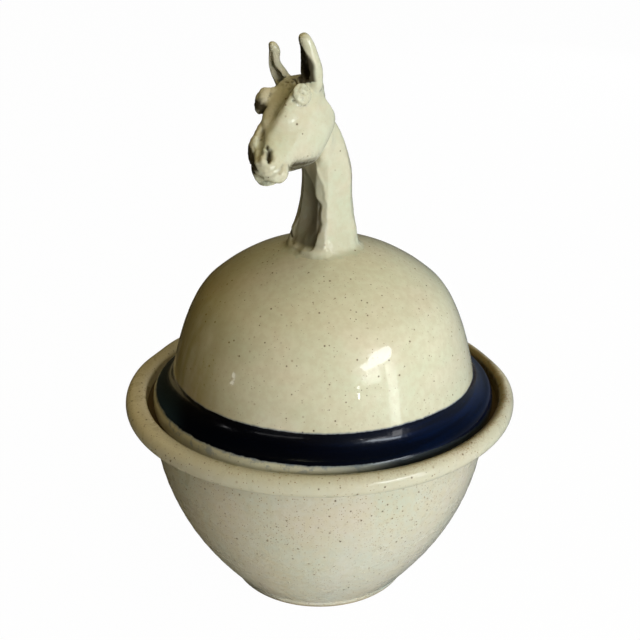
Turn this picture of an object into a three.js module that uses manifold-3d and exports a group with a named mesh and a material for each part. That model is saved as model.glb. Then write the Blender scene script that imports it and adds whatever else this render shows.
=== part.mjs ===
// Covered serving dish in speckled stoneware: a thrown bowl with a galleried rim, and a domed lid whose
// handle is a hand-modelled horse's head and neck. Millimetres, +Z up. The origin is on the table, under
// the middle of the bowl, and the front is towards -Y.

import * as THREE from "three";
import { mergeVertices } from "three/addons/utils/BufferGeometryUtils.js";
import Module from "manifold-3d";

const wasm = await Module();
wasm.setup();

// Clearance between clay pieces that touch: the lid on its ledge, and the pieces luted to the lid.
const clearance = 0.3;

// Bowl
const footRadius = 53.5;
const footHeight = 4.2; // bevelled band between the table and the wall
const footBevel = 1.6; // how far the band leans out
const footRingWidth = 9; // flat ring that the bowl stands on
const footRecess = 3; // turned out under the floor
const floorThickness = 8;
const bowlWall = 6.6;
const bowlRadius = 98.3; // outside of the wall, under the rim
const shoulderHeight = 103; // where the wall turns out to the rim
const rollHeight = 117.5; // middle of the rolled rim
const rollRadius = 6;
const lipInset = 1.6; // how far the lip is trimmed into the roll
const lidPlay = 3.8; // between the lip and the lid's flange
const ledgeHeight = 114; // gallery ledge that carries the lid
const ledgeWidth = 13.4;

// Lid
const lidShift = 2; // the lid sits a little off centre in its gallery
const flangeRadius = 100.6;
const flangeUpturn = 10.7; // from the flange's underside to the top of its edge
const flangeEdge = 2.6; // rounding of the flange's edge
const bandRise = 11.5; // height of the hollow curve between the flange and the dome
const domeRadius = 88.3; // outside of the dome, above the hollow curve
const domeHeight = 76.4; // from there to the crown
const domeLean = 8.9; // how far the lower dome leans in
const domeShoulder = 67.7; // radius where the side turns over to the top
const domeShoulderHeight = 50.6;
const lidWall = 5.6;

// Horse's head and neck
const turnDeg = 39; // from the front, towards the left
const pitchDeg = 40; // nose below level
const tiltDeg = 17; // the head's right side hangs lower
const faceLength = 59.5; // poll to lips
const headWidth = 30; // cheek to cheek
const headDepth = 36; // forehead to jaw
const neckWidth = 23.8; // at its slimmest
const neckDepth = 26;
const neckForward = 24.7; // poll ahead of the neck's foot
const neckHeight = 99.2; // crown of the lid to the poll
const headAside = -3.6; // poll from the neck's middle plane
const neckTwistDeg = 10; // the neck's faces turn further to the left than the head
const eyeRadius = 5;
const eyeSpread = 13.2; // from the middle of the face to the eye's middle
const eyeAlong = 15.2; // poll to the eye
const eyeHeight = -3.3; // from the poll, towards the bridge side
const nostrilSpread = 4.9; // from the middle of the face to a nostril's inner lip
const noseAside = -0.9; // the nose leans a little to its right
// Of each ear: the sweep carries its foot outwards, the waist is the share of the width left halfway up,
// and the brow is the size of the ridge over the eye on that side.
const leftEar = {
  length: 26, width: 12.8, splayDeg: 15.5, turnDeg: -11, sweep: 0.6, waist: 0.82, waistAside: 0.2, brow: 0.5,
};
const rightEar = {
  length: 25.8, width: 9.6, splayDeg: 13.5, turnDeg: 24, sweep: 2.4, waist: 0.68, waistAside: -1.5, brow: 1.1,
};
const earShell = 1.8;
const earSpread = 11.2;
const earAlong = 1; // ahead of the poll
const earSunk = 8; // below the poll

const roundSides = 60;
const loftSides = 24;

// Heights and radii that follow
const lipRadius = flangeRadius + lidPlay;
const rimRadius = lipRadius + 2 * rollRadius - lipInset;
const ledgeInnerRadius = lipRadius - ledgeWidth;
const seatHeight = ledgeHeight + clearance;
const flangeTop = seatHeight + flangeUpturn;
const domeFoot = flangeTop + bandRise;
const crown = domeFoot + domeHeight;
const degrees = Math.PI / 180;

function glaze(color, roughness) {
  return new THREE.MeshStandardMaterial({ color, roughness, metalness: 0 });
}

// A closed geometry as a manifold-3d solid.
function solidOf(geometry) {
  const flat = new THREE.BufferGeometry();
  flat.setAttribute("position", geometry.toNonIndexed().getAttribute("position"));
  const merged = mergeVertices(flat, 1e-3);
  return new wasm.Manifold(
    new wasm.Mesh({
      numProp: 3,
      vertProperties: merged.attributes.position.array,
      triVerts: new Uint32Array(merged.index.array),
    }),
  );
}

// A manifold-3d solid as a geometry.
function geometryOf(solid) {
  const mesh = solid.getMesh();
  const geometry = new THREE.BufferGeometry();
  const points = new Float32Array(mesh.numVert * 3);
  for (let i = 0; i < mesh.numVert; i++) {
    const at = i * mesh.numProp;
    points.set(mesh.vertProperties.subarray(at, at + 3), i * 3);
  }
  geometry.setAttribute("position", new THREE.BufferAttribute(points, 3));
  geometry.setIndex(new THREE.BufferAttribute(new Uint32Array(mesh.triVerts), 1));
  geometry.computeVertexNormals();
  return geometry;
}

function mesh(name, geometry, color = 0xd8d2b8, roughness = 0.2) {
  const made = new THREE.Mesh(geometry, glaze(color, roughness));
  made.name = name;
  return made;
}

// A profile of radius and height, turned round the Z axis.
function turned(path, divisions = 5, sides = roundSides) {
  const geometry = new THREE.LatheGeometry(path.getPoints(divisions), sides);
  return geometry.rotateX(Math.PI / 2);
}

// Bowl: the outside wall is a parabola, upright at the shoulder. It ends in a rolled rim with a ledge
// inside.
function bowlProfile() {
  const rollCentre = rimRadius - rollRadius;
  const wallFoot = footRadius + footBevel;
  const path = new THREE.Path();
  path.moveTo(0, footRecess);
  path.lineTo(footRadius - footRingWidth - footRecess, footRecess);
  path.lineTo(footRadius - footRingWidth, 0);
  path.lineTo(footRadius, 0);
  path.lineTo(wallFoot, footHeight);
  path.quadraticCurveTo(bowlRadius, (footHeight + shoulderHeight) / 2, bowlRadius, shoulderHeight);
  path.quadraticCurveTo(bowlRadius, rollHeight - rollRadius, rollCentre, rollHeight - rollRadius);
  const lipTurn = Math.acos((lipRadius - rollCentre) / rollRadius);
  path.absarc(rollCentre, rollHeight, rollRadius, -Math.PI / 2, lipTurn);
  path.lineTo(lipRadius, ledgeHeight);
  path.lineTo(ledgeInnerRadius + 2, ledgeHeight);
  path.quadraticCurveTo(ledgeInnerRadius, ledgeHeight, ledgeInnerRadius, ledgeHeight - 3);
  const floor = footRecess + floorThickness;
  path.bezierCurveTo(
    bowlRadius - bowlWall, ledgeHeight * 0.6, footRadius + 16, floor + 2, footRadius - 18, floor,
  );
  path.lineTo(0, floor);
  return path;
}

// The outside of the dome from its foot to the crown, set in or out by a margin.
function domeCurves(margin) {
  const foot = [domeRadius + margin, domeFoot];
  const shoulder = [domeShoulder + margin * 0.7, domeFoot + domeShoulderHeight + margin * 0.7];
  const lower = [domeRadius - domeLean + margin, domeFoot + domeShoulderHeight * 0.78];
  const upper = [domeShoulder * 0.58, crown + margin];
  return [foot, lower, shoulder, upper, [0, crown + margin]];
}

function addDome(path, margin) {
  const [, lower, shoulder, upper, top] = domeCurves(margin);
  path.quadraticCurveTo(...lower, ...shoulder);
  path.quadraticCurveTo(...upper, ...top);
}

function lidProfile() {
  const [foot, lower, shoulder, upper, top] = domeCurves(-lidWall);
  const path = new THREE.Path();
  path.moveTo(...top);
  path.quadraticCurveTo(...upper, ...shoulder);
  path.quadraticCurveTo(...lower, ...foot);
  path.lineTo(foot[0] + 1.4, seatHeight);
  path.lineTo(flangeRadius - flangeEdge, seatHeight);
  path.quadraticCurveTo(flangeRadius, seatHeight, flangeRadius, seatHeight + flangeEdge);
  path.bezierCurveTo(
    flangeRadius, flangeTop - flangeEdge,
    flangeRadius - 1, flangeTop - 1,
    flangeRadius - flangeEdge, flangeTop,
  );
  path.quadraticCurveTo(domeRadius + 1, flangeTop + 2.5, domeRadius, domeFoot);
  addDome(path, 0);
  return path;
}

// Everything under the dome's outside, grown by the clearance: it cuts the neck's foot to its seat.
function domeSeat() {
  const path = new THREE.Path();
  path.moveTo(0, domeFoot);
  path.lineTo(domeRadius + clearance, domeFoot);
  addDome(path, clearance);
  return solidOf(turned(path, 12));
}

// A closed skin through rings of points, each as long as the others.
function skin(rings) {
  const sides = rings[0].length;
  const points = [];
  const faces = [];
  rings.forEach((ring) => ring.forEach((p) => points.push(p.x, p.y, p.z)));
  for (let i = 0; i + 1 < rings.length; i++) {
    for (let j = 0; j < sides; j++) {
      const a = i * sides + j;
      const b = i * sides + ((j + 1) % sides);
      faces.push(a, b, a + sides, b, b + sides, a + sides);
    }
  }
  [0, rings.length - 1].forEach((end) => {
    const middle = rings[end].reduce((sum, p) => sum.add(p), new THREE.Vector3()).divideScalar(sides);
    const tip = points.length / 3;
    points.push(middle.x, middle.y, middle.z);
    for (let j = 0; j < sides; j++) {
      const a = end * sides + j;
      const b = end * sides + ((j + 1) % sides);
      faces.push(...(end === 0 ? [b, a, tip] : [a, b, tip]));
    }
  });
  const geometry = new THREE.BufferGeometry();
  geometry.setAttribute("position", new THREE.BufferAttribute(new Float32Array(points), 3));
  geometry.setIndex(faces);
  return geometry;
}

// A soft form from a few sections. Each has its middle, and as shares of the form's width and depth its
// half width, how far it reaches over and under the middle, and how far it is dented above and below. It
// may be squarer than an ellipse, more so above (ridge), narrower above, bevelled at its corners and
// turned about the middle line, in degrees. Between the sections every value follows one smooth curve. The
// middles run within a plane across X.
function loft(sections, width, depth, steps, sides = loftSides, grown = 0) {
  const middles = new THREE.CatmullRomCurve3(sections.map((s) => new THREE.Vector3(...s.at)));
  const valueAt = (word, along, standard = 0) => {
    const points = sections.map((s) => new THREE.Vector3(s[word] ?? standard, 0, 0));
    return new THREE.CatmullRomCurve3(points, false, "catmullrom").getPoint(along).x;
  };
  const across = new THREE.Vector3(1, 0, 0);
  const rings = [];
  for (let i = 0; i <= steps; i++) {
    const along = i / steps;
    const middle = middles.getPoint(along);
    const tangent = middles.getTangent(along);
    const turn = valueAt("turn", along) * degrees;
    const sideways = across.clone().applyAxisAngle(tangent, -turn);
    const upward = new THREE.Vector3().crossVectors(tangent, across).normalize();
    upward.applyAxisAngle(tangent, -turn);
    const wide = width * valueAt("wide", along) + grown;
    const over = depth * valueAt("over", along) + grown;
    const under = depth * valueAt("under", along) + grown;
    const square = valueAt("square", along, 2);
    const ridge = valueAt("ridge", along);
    const bevel = valueAt("bevel", along, 2);
    const narrow = valueAt("narrow", along);
    const dents = [depth * valueAt("dentOver", along), depth * valueAt("dentUnder", along)];
    const ring = [];
    for (let j = 0; j < sides; j++) {
      const angle = (j / sides) * 2 * Math.PI;
      const power = 2 / (square + (Math.sin(angle) > 0 ? ridge : 0));
      let c = Math.sign(Math.cos(angle)) * Math.abs(Math.cos(angle)) ** power;
      let s = Math.sign(Math.sin(angle)) * Math.abs(Math.sin(angle)) ** power;
      const corner = Math.min(1, bevel / (Math.abs(c) + Math.abs(s)));
      c *= corner;
      s *= corner;
      const dent = (s > 0 ? dents[0] : -dents[1]) * Math.exp(-((c / 0.5) ** 2)) * Math.abs(s);
      const aside = wide * c * (1 - narrow * Math.max(s, 0));
      const height = (s > 0 ? over : under) * s - dent;
      ring.push(middle.clone().addScaledVector(sideways, aside).addScaledVector(upward, height));
    }
    rings.push(ring);
  }
  return solidOf(skin(rings));
}

// A ball drawn out along its axes and turned, as a solid.
function pellet(radii, at, turns = [0, 0, 0], sides = 14) {
  const geometry = new THREE.SphereGeometry(1, sides, Math.round(sides * 0.6));
  const matrix = new THREE.Matrix4().makeRotationFromEuler(new THREE.Euler(...turns));
  geometry.applyMatrix4(new THREE.Matrix4().makeScale(...radii));
  geometry.applyMatrix4(matrix.setPosition(...at));
  return solidOf(geometry);
}

// Head, in its own frame: the poll is the origin, the face runs along -Y, +Z is the bridge side and +X is
// the horse's left.
function headForm() {
  const l = faceLength;
  const w = headWidth / 2;
  const d = headDepth;
  const at = (along, height = -0.39) => [0, -along * l, height * d];
  const bead = (radii, place, turns) => {
    const stretched = [radii[0] * w, radii[1] * l, radii[2] * d];
    return pellet(stretched, [place[0] * w + place[3], -place[1] * l, place[2] * d], turns);
  };
  const face = loft(
    [
      { at: at(-0.1, -0.56), wide: 0.47, over: 0.17, under: 0.22 },
      { at: at(-0.05, -0.47), wide: 0.7, over: 0.235, under: 0.33, square: 2.3 },
      { at: at(0.04), wide: 0.89, over: 0.32, under: 0.5, square: 2.8, narrow: 0.1, ridge: 1 },
      {
        at: at(0.14), wide: 1, over: 0.39, under: 0.6,
        square: 3.3, ridge: 3, narrow: 0.26, dentOver: 0.03,
      },
      {
        at: at(0.27), wide: 1, over: 0.405, under: 0.625,
        square: 3.4, ridge: 4, narrow: 0.3, dentOver: 0.045,
      },
      {
        at: at(0.4), wide: 0.92, over: 0.385, under: 0.63,
        square: 3.3, ridge: 3.5, narrow: 0.34, dentOver: 0.03,
      },
      { at: at(0.54), wide: 0.81, over: 0.325, under: 0.6, square: 3.1, ridge: 1.5, narrow: 0.46 },
      { at: at(0.67, -0.375), wide: 0.7, over: 0.295, under: 0.43, square: 2.4, narrow: 0.45 },
      { at: at(0.79, -0.35), wide: 0.61, over: 0.275, under: 0.24, narrow: 0.28, dentOver: 0.04 },
      { at: at(0.9, -0.35), wide: 0.58, over: 0.25, under: 0.235, square: 2.4, narrow: 0.2, dentOver: 0.035 },
      { at: at(0.955, -0.335), wide: 0.5, over: 0.22, under: 0.19, square: 2.4, narrow: 0.12 },
      { at: at(0.99, -0.315), wide: 0.38, over: 0.16, under: 0.13, square: 2.3 },
      { at: at(1.01, -0.305), wide: 0.2, over: 0.08, under: 0.07 },
    ],
    w,
    d,
    26,
  );
  const chin = bead([0.32, 0.1, 0.09], [0.1, 0.88, -0.455, 0], [0.15, 0, 0]);
  const mouth = bead([0.62, 0.12, 0.024], [0, 1.02, -0.37, 0], [0.1, 0, 0]);
  let head = face.add(chin).subtract(mouth);
  for (const [side, ear] of [[1, leftEar], [-1, rightEar]]) {
    const lip = side * nostrilSpread + noseAside;
    const wing = lip + side * 0.24 * w;
    const slit = lip + side * 0.15 * w;
    const up = side < 0 ? 0.08 : 0;
    head = head.add(bead([0.19, 0.18, 0.11], [0, 0.79 - up, -0.16, lip], [0.16, 0, side * 0.09]));
    head = head.add(bead([0.17, 0.13, 0.1], [0, 0.81 - up, -0.21, wing], [0.35, 0, side * 0.14]));
    head = head.subtract(bead([0.09, 0.092, 0.085], [0, 0.845 - up, -0.14, slit], [0.45, 0, side * 0.2]));
    const size = ear.brow;
    const brow = side * (eyeSpread - 0.6 * eyeRadius) - 0.8;
    const browPlace = [0, (eyeAlong + 0.1 * eyeRadius) / l, (eyeHeight + 0.4 * eyeRadius) / d, brow];
    head = head.add(bead([0.25 * size, 0.12 * size, 0.1 * size], browPlace, [0, 0, side * 0.14]));
  }
  return head;
}

function neckForm() {
  const w = neckWidth / 2;
  const d = neckDepth / 2;
  const turn = neckTwistDeg;
  const at = (rise, lean, aside = 0) => [aside * w, -lean * neckForward, crown + rise * neckHeight];
  return loft(
    [
      { at: at(-0.09, 0), wide: 1.62, over: 1.57, under: 1.57, square: 2.5, turn },
      { at: at(0.03, 0), wide: 1.43, over: 1.41, under: 1.41, square: 3, bevel: 1.78, turn },
      {
        at: at(0.12, 0, 0.02), wide: 1.18, over: 1.28, under: 1.17,
        square: 4, bevel: 1.64, dentUnder: 0.12, turn,
      },
      {
        at: at(0.252, -0.02, 0.03), wide: 1.04, over: 1.17, under: 1.02,
        square: 4.4, bevel: 1.58, dentUnder: 0.16, turn,
      },
      {
        at: at(0.423, -0.05, 0.03), wide: 1, over: 1.07, under: 1,
        square: 4.2, bevel: 1.58, dentUnder: 0.14, turn,
      },
      {
        at: at(0.575, 0.04), wide: 0.94, over: 0.82, under: 0.89,
        square: 3.4, bevel: 1.65, dentUnder: 0.08, turn: turn * 0.8,
      },
      { at: at(0.706, 0.28, -0.04), wide: 0.83, over: 0.7, under: 0.77, square: 2.5, turn: turn * 0.4 },
      { at: at(0.806, 0.54, -0.08), wide: 0.67, over: 0.62, under: 0.62, square: 2.3 },
      { at: at(0.847, 0.72, -0.08), wide: 0.5, over: 0.46, under: 0.46, square: 2.1 },
    ],
    w,
    d,
    18,
  );
}

// An ear stands on its own Z axis, with its hollow towards -Y.
function earOuter(ear, grown) {
  const l = ear.length;
  const w = ear.width / 2;
  const sweep = ear.sweep;
  return loft(
    [
      { at: [sweep, 0.1 * w, -0.15 * l], wide: 0.7, over: 0.62, under: 0.62 },
      { at: [sweep, 0.05 * w, 0], wide: 0.9, over: 0.72, under: 0.74 },
      { at: [0.4 * sweep, 0.05 * w, 0.25 * l], wide: 1, over: 0.84, under: 0.84 },
      { at: [ear.waistAside, 0, 0.55 * l], wide: ear.waist, over: 0.9 * ear.waist, under: 0.9 * ear.waist },
      { at: [-0.06 * w, -0.1 * w, 0.8 * l], wide: 0.62, over: 0.56, under: 0.56 },
      { at: [-0.16 * w, -0.24 * w, 0.95 * l], wide: 0.46, over: 0.42, under: 0.42 },
      { at: [-0.2 * w, -0.3 * w, l], wide: 0.26, over: 0.24, under: 0.24 },
    ],
    w,
    w,
    11,
    12,
    grown,
  );
}

function earForm(ear) {
  const l = ear.length;
  const w = ear.width / 2;
  const sweep = ear.sweep;
  const inside = w - earShell;
  const hollow = loft(
    [
      { at: [0.6 * sweep, -0.34 * w, 0.1 * l], wide: 0.4, over: 0.3, under: 0.8 },
      { at: [0.35 * sweep, -0.34 * w, 0.28 * l], wide: 0.9, over: 1, under: 1.8 },
      { at: [ear.waistAside, -0.38 * w, 0.56 * l], wide: 0.95 * ear.waist, over: 0.9, under: 1.6 },
      { at: [-0.12 * w, -0.5 * w, 0.88 * l], wide: 0.25, over: 0.3, under: 0.8 },
    ],
    inside,
    inside,
    8,
    12,
  );
  return earOuter(ear, 0).subtract(hollow);
}

// Where an ear stands on the head.
function earPlace(side, ear) {
  const place = new THREE.Object3D();
  place.position.set(side * earSpread, -earAlong, -earSunk);
  place.rotation.set((8 - pitchDeg) * degrees, ear.splayDeg * degrees, ear.turnDeg * degrees, "XYZ");
  place.updateMatrix();
  return place.matrix;
}

// From the head's frame to the neck's.
function headPlace() {
  const place = new THREE.Object3D();
  place.position.set(headAside, -neckForward, crown + neckHeight);
  place.rotation.set(pitchDeg * degrees, -tiltDeg * degrees, 0, "YXZ");
  place.updateMatrix();
  return place.matrix;
}

function placed(solid, matrix) {
  return solid.transform(matrix.toArray());
}

// An eye lies in a shallow dent in the side of the head.
function eyeForm(side, grown) {
  const r = eyeRadius + grown;
  const at = [side * eyeSpread, -eyeAlong, eyeHeight];
  return pellet([0.54 * r, r, r], at, [0, side * -0.24, side * -0.14]);
}

const horse = new THREE.Group();
horse.position.set(lidShift, 0, 0);
horse.rotation.z = -turnDeg * degrees;

const toNeck = headPlace();
let figure = placed(headForm(), toNeck).add(neckForm());
for (const [side, word, ear] of [[1, "left", leftEar], [-1, "right", rightEar]]) {
  const toHead = new THREE.Matrix4().multiplyMatrices(toNeck, earPlace(side, ear));
  figure = figure.subtract(placed(earOuter(ear, clearance), toHead));
  figure = figure.subtract(placed(eyeForm(side, clearance), toNeck));
  horse.add(mesh(`ear_${word}`, geometryOf(placed(earForm(ear), toHead))));
  horse.add(mesh(`eye_${word}`, geometryOf(placed(eyeForm(side, 0), toNeck)), 0xcfc2a4));
}
horse.add(mesh("horse_head_and_neck", geometryOf(figure.subtract(domeSeat()))));

const lid = mesh("lid", turned(lidProfile()), 0xd6ceab, 0.18);
lid.position.x = lidShift;

const dish = new THREE.Group();
dish.add(mesh("bowl", turned(bowlProfile()), 0xcfcab6, 0.24));
dish.add(lid);
dish.add(horse);

export default dish;
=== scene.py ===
import math

import bmesh
import bpy
from mathutils import Matrix, Vector, noise


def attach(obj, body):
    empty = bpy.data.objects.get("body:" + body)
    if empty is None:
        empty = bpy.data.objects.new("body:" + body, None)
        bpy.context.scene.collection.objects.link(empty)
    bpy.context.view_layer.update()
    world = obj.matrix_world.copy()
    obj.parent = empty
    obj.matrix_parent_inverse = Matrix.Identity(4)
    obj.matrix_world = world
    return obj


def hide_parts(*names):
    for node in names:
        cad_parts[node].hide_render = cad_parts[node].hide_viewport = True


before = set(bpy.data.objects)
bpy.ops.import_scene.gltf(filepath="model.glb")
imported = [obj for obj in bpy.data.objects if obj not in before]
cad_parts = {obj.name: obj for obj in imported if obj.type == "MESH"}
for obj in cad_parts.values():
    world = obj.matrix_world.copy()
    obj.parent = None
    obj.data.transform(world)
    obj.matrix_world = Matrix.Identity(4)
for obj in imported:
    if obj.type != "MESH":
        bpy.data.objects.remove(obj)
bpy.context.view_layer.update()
mm = 0.001  # sizes below are in millimetres, like the solids


def curve(handles, steps):
    # points along a curve with any number of handles, its first point left out
    made = []
    for i in range(1, steps + 1):
        row = [Vector(h) for h in handles]
        while len(row) > 1:
            row = [a.lerp(b, i / steps) for a, b in zip(row, row[1:])]
        made.append(row[0])
    return made


def arc(centre, radius, start, end, steps):
    turns = [start + (end - start) * i / steps for i in range(1, steps + 1)]
    return [Vector((centre[0] + radius * math.cos(a), centre[1] + radius * math.sin(a))) for a in turns]


def onward(outline, steps, *handles):
    # carries an outline on from its last point
    outline += curve([outline[-1], *handles], steps)


def ease(low, high, value):
    t = min(max((value - low) / (high - low), 0), 1)
    return t * t * (3 - 2 * t)


def bump(distance, reach):
    return math.exp(-(distance / reach) ** 2)


def thrown(bm, profile, sides, shift=0):
    # a profile of radius and height, turned once round the Z axis
    verts = [bm.verts.new((p[0] * mm, 0, p[1] * mm)) for p in profile]
    edges = [bm.edges.new(pair) for pair in zip(verts, verts[1:])]
    bmesh.ops.spin(bm, geom=verts + edges, cent=(0, 0, 0), axis=(0, 0, 1), angle=2 * math.pi,
                   steps=sides, use_merge=True)
    bmesh.ops.remove_doubles(bm, verts=bm.verts, dist=1e-6)
    bmesh.ops.recalc_face_normals(bm, faces=bm.faces)
    bmesh.ops.translate(bm, verts=bm.verts, vec=(shift * mm, 0, 0))


def asObject(bm, name):
    mesh = bpy.data.meshes.new(name)
    bm.to_mesh(mesh)
    bm.free()
    piece = bpy.data.objects.new(name, mesh)
    bpy.context.collection.objects.link(piece)
    return piece


def dressed(piece, material):
    piece.data.polygons.foreach_set("use_smooth", [True] * len(piece.data.polygons))
    piece.data.materials.clear()
    piece.data.materials.append(material)
    return piece


class Wire:
    # one socket of a material; sums on it become Math nodes
    def __init__(self, tree, socket=None):
        self.tree, self.socket = tree, socket

    def node(self, kind, settings=None, inputs=None, out=0):
        made = self.tree.nodes.new(kind)
        for name, value in (settings or {}).items():
            setattr(made, name, value)
        for name, value in (inputs or {}).items():
            hook(made, name, value)
        return Wire(self.tree, made.outputs[out])

    def maths(self, operation, *values):
        return self.node("ShaderNodeMath", {"operation": operation}, dict(enumerate(values)))

    def __add__(self, other):
        return self.maths("ADD", self, other)

    def __sub__(self, other):
        return self.maths("SUBTRACT", self, other)

    def __rsub__(self, other):
        return self.maths("SUBTRACT", other, self)

    def __mul__(self, other):
        return self.maths("MULTIPLY", self, other)

    __radd__ = __add__
    __rmul__ = __mul__

    def root(self):
        return self.maths("SQRT", self)

    def parts(self):
        # the x, y and z of a place
        return [self.node("ShaderNodeSeparateXYZ", None, {0: self}, out=i) for i in range(3)]

    def between(self, low, high):
        # 0 below low, 1 above high, or the other way round where high is the lower
        falls = high < low
        start, end = (high, low) if falls else (low, high)
        return self.node("ShaderNodeMapRange", {"interpolation_type": "SMOOTHSTEP"},
                         {"Value": self, "From Min": start, "From Max": end,
                          "To Min": float(falls), "To Max": float(not falls)})

    def blend(self, under, over):
        # the colour under, covered by the colour over as far as this mask is 1
        return self.node("ShaderNodeMix", {"data_type": "RGBA"}, {0: self, 6: under, 7: over}, out=2)

    def cover(self, colour, layer):
        # the colour, covered by a layer: its own colour, and how strong it is where this mask is 1
        over, strength = layer
        return (self * strength).blend(colour, over)

    def noise(self, scale, detail=2.0, roughness=0.5, warp=0.0):
        return self.node("ShaderNodeTexNoise", None, {"Vector": self, "Scale": scale, "Detail": detail,
                                                      "Roughness": roughness, "Distortion": warp})

    def stretched(self, x, y, z):
        return self.node("ShaderNodeMapping", None, {"Vector": self, "Scale": (x, y, z)})

    def other(self, out):
        # another socket of the same node
        return Wire(self.tree, self.socket.node.outputs[out])

    def specks(self, perMetre, size, share):
        # round grains of many sizes, in some of the cells
        near = self.node("ShaderNodeTexVoronoi", None,
                         {"Vector": self, "Scale": perMetre, "Randomness": 1.0})
        luck = self.node("ShaderNodeSeparateColor", None, {0: near.other(1)})
        reach = size * perMetre
        big = self.node("ShaderNodeMapRange", None,
                        {"Value": luck, "From Min": 1 - share, "To Max": reach})
        return (big - near).between(0.0, 0.3 * reach)


def hook(node, name, value):
    # a wire is linked to the socket, and a plain value is set on it
    if isinstance(value, Wire):
        value.tree.links.new(value.socket, node.inputs[name])
    else:
        node.inputs[name].default_value = value


# Glaze

glaze = {  # sizes here and places in the materials are in metres
    "green": (0.64, 0.67, 0.49, 1), "pink": (0.80, 0.67, 0.53, 1), "mottle": (0.60, 0.53, 0.36, 1),
    "iron": (0.035, 0.022, 0.01, 1), "rust": (0.28, 0.17, 0.07, 1),
    # bare clay darkened as painted shade, for the ledge and the flange's underside deep in the gap
    "shadedBareClay": (0.10, 0.07, 0.035, 1),
    "greenShare": 0.65, "pinkShare": 0.75, "mottleShare": 0.4, "banding": 1.6,
    "cloudScale": 26, "mottleScale": 240,
    "grainScale": 350, "grainSize": 0.00052, "grainShare": 0.55, "grainDepth": 0.9,
    "haloSize": 1.9, "haloDepth": 0.35,
    "dustScale": 640, "dustSize": 0.00034, "dustShare": 0.8, "dustDepth": 0.75,
    "roughness": 0.17, "coat": 0.6, "coatRoughness": 0.035, "specular": 0.3,
    "peelScale": 420, "peelDepth": 0.8, "pitScale": 700, "pitSize": 0.0006, "pitShare": 0.12,
    "gritScale": 1500, "gritDepth": 0.5, "reliefStrength": 0.35, "relief": 0.0004,
}


def glazeMaterial(name):
    material = bpy.data.materials.new(name)
    material.use_nodes = True
    place = Wire(material.node_tree).node("ShaderNodeTexCoord", out=3)
    return material, material.node_tree.nodes["Principled BSDF"], place


def cloudedGlaze(place, look):
    # milky glaze with soft clouds, lightly banded by the wheel
    banded = place.stretched(1, 1, look["banding"])
    green = banded.noise(look["cloudScale"], 3, 0.55).between(0.3, 0.75)
    blush = banded.stretched(1.1, 0.9, 1.2).noise(look["cloudScale"] * 0.8, 3, 0.5, 0.4)
    pink = blush.between(0.38, 0.8)
    fine = place.noise(look["mottleScale"], 3, 0.6)
    colour = green.cover(look["body"], (look["green"], look["greenShare"]))
    colour = pink.cover(colour, (look["pink"], look["pinkShare"]))
    return fine.between(0.7, 0.3).cover(colour, (look["mottle"], look["mottleShare"]))


def speckled(colour, place, look):
    # iron grains with their rusty halos, and finer rusty dust
    grains = place.specks(look["grainScale"], look["grainSize"], look["grainShare"])
    halo = place.specks(look["grainScale"], look["grainSize"] * look["haloSize"], look["grainShare"])
    dust = place.specks(look["dustScale"], look["dustSize"], look["dustShare"])
    colour = halo.cover(colour, (look["rust"], look["haloDepth"]))
    colour = grains.cover(colour, (look["iron"], look["grainDepth"]))
    return dust.cover(colour, (look["rust"], look["dustDepth"]))


def glazed(shader, place, look, colour, coat, bare=0):
    # the gloss, and the glaze's orange peel and pinholes; bare clay is coarser and matt
    hook(shader, "Base Color", colour)
    hook(shader, "Roughness", bare * 0.5 + look["roughness"] + place.noise(90, 2) * 0.08)
    hook(shader, "Coat Weight", coat)
    hook(shader, "Coat Roughness", look["coatRoughness"])
    hook(shader, "Specular IOR Level", look["specular"])
    peel = place.noise(look["peelScale"], 2, 0.5)
    pits = place.specks(look["pitScale"], look["pitSize"], look["pitShare"])
    grit = place.noise(look["gritScale"], 2, 0.7)
    height = peel * look["peelDepth"] * (1 - bare) - pits * 0.4 * look["peelDepth"]
    height = height + grit * bare * look["gritDepth"]
    relief = {"Height": height, "Strength": look["reliefStrength"], "Distance": look["relief"]}
    hook(shader, "Normal", place.node("ShaderNodeBump", None, relief))


# Bowl

bowl = {
    "footRadius": 53.5, "footHeight": 4.2, "footBevel": 1.6, "ringWidth": 9, "recess": 3, "floor": 11,
    "wall": 6.6, "radius": 98.3, "shoulder": 103, "rollHeight": 117.5, "roll": 6, "rim": 114.8,
    "lip": 104.4, "ledge": 114, "ledgeInner": 91, "lipShift": 1.6, "sides": 256,
    "waves": ((2, 0.6, 0.5), (3, 2.1, 0.35)),  # how many round the rim, their start and their height
    "dents": ((2.72, 0.13, 1.3), (0.36, 0.2, 1.7)),  # angle, width and depth
    "ridge": 0.1, "softness": 0.35, "rimLift": 0.35, "rimUneven": 0.25,
    "look": dict(
        glaze, body=(0.61, 0.60, 0.49, 1), pink=(0.68, 0.585, 0.485, 1), green=(0.55, 0.59, 0.465, 1),
        mottleShare=0.55, banding=0.7, grainSize=0.00054, grainShare=0.7, dustSize=0.00042,
        dustShare=0.95, dustDepth=0.9, roughness=0.24, poreScale=1000, poreSize=0.00042, poreShare=0.7,
        poreDepth=0.85, milky=((0.60, 0.66, 0.62, 1), 0.6), rim=((0.63, 0.60, 0.45, 1), 0.6),
        rimPaintedLight=((0.84, 0.76, 0.55, 1), 0.8), inside=(0.16, 0.13, 0.05, 1), toast=(0.28, 0.15, 0.055, 1),
        clay=(0.52, 0.43, 0.29, 1), milkyHeight=(0.1, 0.03), poreHeight=(0.109, 0.104),
        rimHeight=(0.1085, 0.1125), leftEnd=(-0.06, -0.105), rightEnd=(0.09, 0.125),
        insideRadius=(0.1135, 0.1085), insideHeight=(0.113, 0.1145), crumbRadius=(0.1145, 0.110),
        crumbHeight=(0.117, 0.12), rightSide=(-0.05, 0.07), ledgeOuter=(0.107, 0.105),
        ledgeInner=(0.0895, 0.0905), ledgeTop=(0.1165, 0.1145), ledgeFoot=(0.1095, 0.1125),
        underHeight=(0.0035, 0.0008)),
}


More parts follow.
